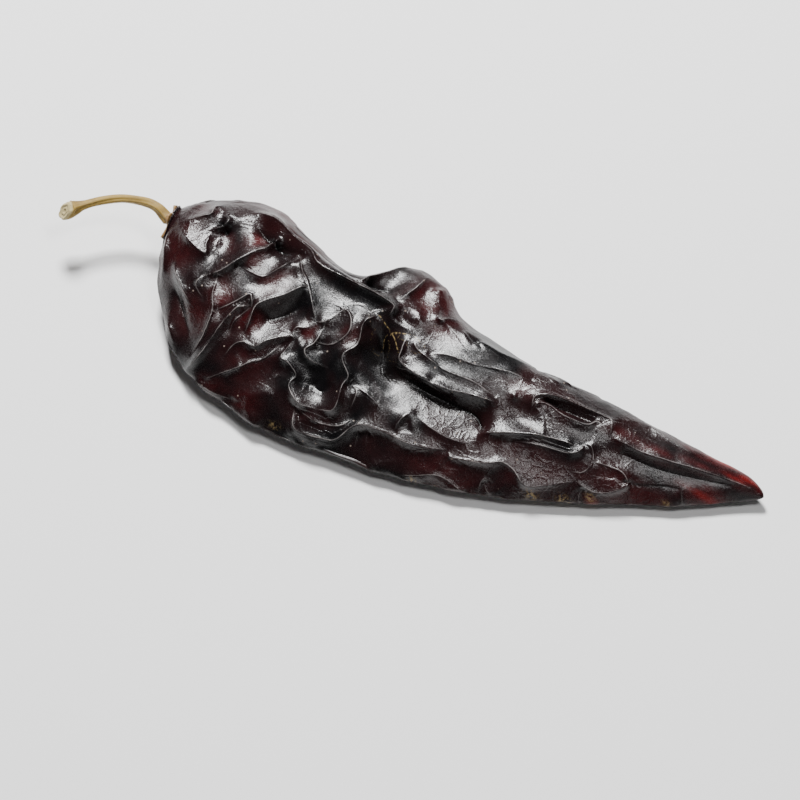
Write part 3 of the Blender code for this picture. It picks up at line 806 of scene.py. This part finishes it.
def stem_material():
    """Dry straw-coloured stem: lengthwise fibres, brown specks, paler and pitted at the cut end."""
    n = Nodes("chilli_stem")
    place = n.add("ShaderNodeTexCoord").outputs["Object"]
    along = n.math("MULTIPLY", n.value("along"), 6.0)
    round_it = n.math("MULTIPLY", n.value("round"), 34.0)
    fibre_place = n.add("ShaderNodeCombineXYZ", X=along, Y=round_it).outputs[0]
    fibre = n.noise(fibre_place, 1.6, 4, 0.6)
    speckle = n.noise(place, 2600, 2, 0.7)
    blotch = n.noise(place, 260, 3, 0.5)
    tan = (0.24, 0.148, 0.024, 1)
    pale = (0.33, 0.220, 0.046, 1)
    brown = (0.10, 0.055, 0.014, 1)
    cream = (0.46, 0.38, 0.19, 1)
    hollow = (0.30, 0.20, 0.09, 1)
    husk_dark = (0.15, 0.075, 0.025, 1)
    husk_pale = (0.34, 0.21, 0.08, 1)
    colour = n.mix(n.ramp(fibre, 0.35, 0.68), tan, pale)
    colour = n.mix(n.ramp(blotch, 0.50, 0.72, 0, 0.55), colour, brown)
    colour = n.mix(n.ramp(speckle, 0.60, 0.72, 0, 0.5), colour, brown)
    husk = n.mix(n.ramp(fibre, 0.35, 0.65), husk_dark, husk_pale)
    colour = n.mix(n.value("calyx"), colour, husk)
    pits = n.add("ShaderNodeTexVoronoi", Vector=place, Scale=1500.0).outputs["Distance"]
    cut = n.mix(n.ramp(pits, 0.12, 0.40, 0.75, 0), cream, hollow)
    colour = n.mix(n.value("cut"), colour, cut)
    relief = n.math("ADD", n.math("MULTIPLY", fibre, 0.7), n.math("MULTIPLY", speckle, 0.3))
    bump = n.add("ShaderNodeBump", Strength=0.7, Distance=0.00022, Height=relief)
    return n.finish(colour, n.ramp(fibre, 0.3, 0.7, 0.48, 0.68), bump.outputs[0], 0.4)


def make_pod(origin):
    """The crumpled pod as one closed piece. Returns the points of its skin, in mm."""
    points, values = pod_skin()
    first = (pod_form(np.array(0.0), np.array(0.25)) - origin) * MM
    last = (pod_form(np.array(1.0), np.array(0.25)) - origin) * MM
    pod = ring_mesh("pod_skin", (points - origin) * MM, first, last, values)
    pod.data.materials.append(skin_material())
    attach(pod, "root")
    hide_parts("pod")
    return points


def sample_rings(points, t, turn):
    """Places on the finished skin at t and turn."""
    i = np.interp(t, even_shares(RINGS), np.arange(RINGS))
    i = np.clip(i, 0, RINGS - 2)
    upper = turn / 0.5 * UPPER_POINTS
    lower = UPPER_POINTS + (turn - 0.5) / 0.5 * LOWER_POINTS
    j = np.where(turn < 0.5, upper, lower)
    i0 = i.astype(int)
    j0 = j.astype(int)
    fi = (i - i0)[..., None]
    fj = (j - j0)[..., None]
    sides = points.shape[1]
    a = points[i0, j0 % sides] * (1 - fj) + points[i0, (j0 + 1) % sides] * fj
    b = points[i0 + 1, j0 % sides] * (1 - fj) + points[i0 + 1, (j0 + 1) % sides] * fj
    return a * (1 - fi) + b * fi


def calyx_rings(skin, turn):
    """Rings of the calyx's inner and outer side, from its middle to its lobed edge."""
    angle = 2 * np.pi * turn
    lobes = 1 + CALYX_LOBE * np.cos(CALYX_LOBES * angle) + 0.05 * np.sin(3 * angle + 1)
    lobes = lobes * (1 - CALYX_SHORT * np.clip(np.cos(angle + CALYX_SHORT_TURN), 0, 1))
    inner = []
    outer = []
    for share in np.linspace(0.20, 1, CALYX_RINGS):
        place = sample_rings(skin, CALYX_REACH * share * lobes, turn)
        flare = CALYX_FLARE * share
        out = np.stack([-np.ones(len(turn)), -flare * np.cos(angle), flare * np.sin(angle)], -1)
        rib = 0.10 * np.cos(2 * CALYX_LOBES * angle)[:, None] * share
        thick = CALYX_THICKNESS * (1 - 0.5 * share)
        inner.append(place + out * CALYX_GAP)
        outer.append(place + out * (CALYX_GAP + thick + rib))
    return inner, outer


def stem_rings(rows, ahead, angle):
    """Ridged rings round the stem's centre line, leaning back at the cut."""
    side = unit(np.cross((0, 0, 1.0), -ahead))
    up = unit(np.cross(-ahead, side))
    bumps = np.random.default_rng(5).uniform(0, 6.28, 4)
    rings = []
    for k, row in enumerate(rows):
        share = k / STEM_STEPS
        wobble = 0.02 * np.sin(9 * angle + bumps[0] + 9 * share)
        wobble = wobble + 0.025 * np.sin(2 * angle + bumps[1] + 30 * share)
        ridges = STEM_RIDGE * np.cos(STEM_RIDGES * angle + 9 * share)
        radius = row[3] * (1 + ridges + wobble)
        across = up[k] * np.sin(angle)[:, None] - side[k] * np.cos(angle)[:, None]
        ring = row[:3] + across * radius[:, None]
        slant = CUT_SLANT * np.clip((share - SLANT_START) / SLANT_RANGE, 0, 1)
        rings.append(ring - ahead[k] * (slant * (ring[:, 2] - row[2]))[:, None])
    return rings


def cut_face(edge, middle, direction):
    """Uneven rings of the cut face at the stem's end, from its edge inwards."""
    face = []
    for share in np.linspace(0.94, 0.12, CUT_RINGS):
        dent = 0.22 * np.sin(share * 14) + 0.35 * (1 - share)
        face.append(middle + (edge - middle) * share + direction * (0.25 - dent * 0.6))
    return face


def make_stem(origin, skin):
    """The calyx over the end of the pod, and the stem that grows out of it, as one closed piece."""
    turn = np.arange(STEM_SIDES) / STEM_SIDES
    inner, outer = calyx_rings(skin, turn)
    rows = spline(STEM_ROUTE, np.linspace(0, 1, STEM_STEPS))
    ahead = unit(np.gradient(rows[:, :3], axis=0))
    stalk = stem_rings(rows, ahead, 2 * np.pi * turn)
    middle = rows[-1, :3]
    face = cut_face(stalk[-1], middle, ahead[-1])
    every = np.array(inner + outer[:1:-1] + stalk + face)
    first = skin[0].mean(axis=0) + np.array([-CALYX_GAP, 0, 0])
    last = middle - ahead[-1] * 0.1
    total = len(every)
    foot = len(inner) + len(outer) - 2
    index = np.arange(total)[:, None] * np.ones(STEM_SIDES)
    values = {
        "along": index / total,
        "round": np.ones((total, 1)) * turn,
        "calyx": np.clip((foot + FOOT_RINGS - index) / FOOT_FADE, 0, 1),
        "cut": np.clip((index - (foot + STEM_STEPS - CUT_EDGE_RINGS)) / CUT_FADE, 0, 1),
    }
    every, first, last = [(points - origin) * MM for points in (every, first, last)]
    stem = ring_mesh("stem_and_calyx", every, first, last, values)
    stem.data.materials.append(stem_material())
    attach(stem, "root")
    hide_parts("stem")


def floor_material():
    """Matt, nearly white, with a faint cloudiness."""
    n = Nodes("pale_floor")
    place = n.add("ShaderNodeTexCoord").outputs["Object"]
    colour = n.mix(n.noise(place, 6, 2), (0.86, 0.86, 0.86, 1), (0.88, 0.88, 0.88, 1))
    return n.finish(colour, 0.9, None, 0.1)


def make_floor():
    bpy.ops.mesh.primitive_plane_add(size=6.0, location=(0, 0, -0.0001))
    floor = bpy.context.object
    floor.name = "floor"
    floor.data.materials.append(floor_material())


def add_light(name, place, size, power):
    data = bpy.data.lights.new(name, "AREA")
    data.energy = power
    data.size = size
    light = bpy.data.objects.new(name, data)
    light.location = place
    light.rotation_euler = (-Vector(place)).to_track_quat("-Z", "Y").to_euler()
    bpy.context.scene.collection.objects.link(light)


def make_picture(origin):
    """Camera at the photo's angle, and soft studio light."""
    right = np.array([np.cos(AZIMUTH), np.sin(AZIMUTH), 0])
    level = np.array([-np.sin(AZIMUTH), np.cos(AZIMUTH), 0])
    up = level * np.sin(ELEVATION) + np.array([0, 0, np.cos(ELEVATION)])
    back = np.cross(right, up)
    distance = LENS / SENSOR * FRAME_WIDTH
    aim = -origin * MM + right * AIM_RIGHT + up * AIM_UP
    place = aim + back * distance
    data = bpy.data.cameras.new("camera")
    data.lens = LENS
    data.sensor_width = SENSOR
    data.clip_end = 20
    camera = bpy.data.objects.new("camera", data)
    turn = Matrix((right, up, back)).transposed().to_4x4()
    turn.translation = Vector(place)
    camera.matrix_world = turn
    bpy.context.scene.collection.objects.link(camera)
    bpy.context.scene.camera = camera
    world = bpy.data.worlds.new("studio")
    world.use_nodes = True
    sky = world.node_tree.nodes["Background"]
    sky.inputs["Color"].default_value = (1, 1, 1, 1)
    sky.inputs["Strength"].default_value = WORLD_STRENGTH
    bpy.context.scene.world = world
    for light in LIGHTS:
        add_light(*light)


origin = place_of_drawing()
skin = make_pod(origin)
make_stem(origin, skin)
make_floor()
make_picture(origin)
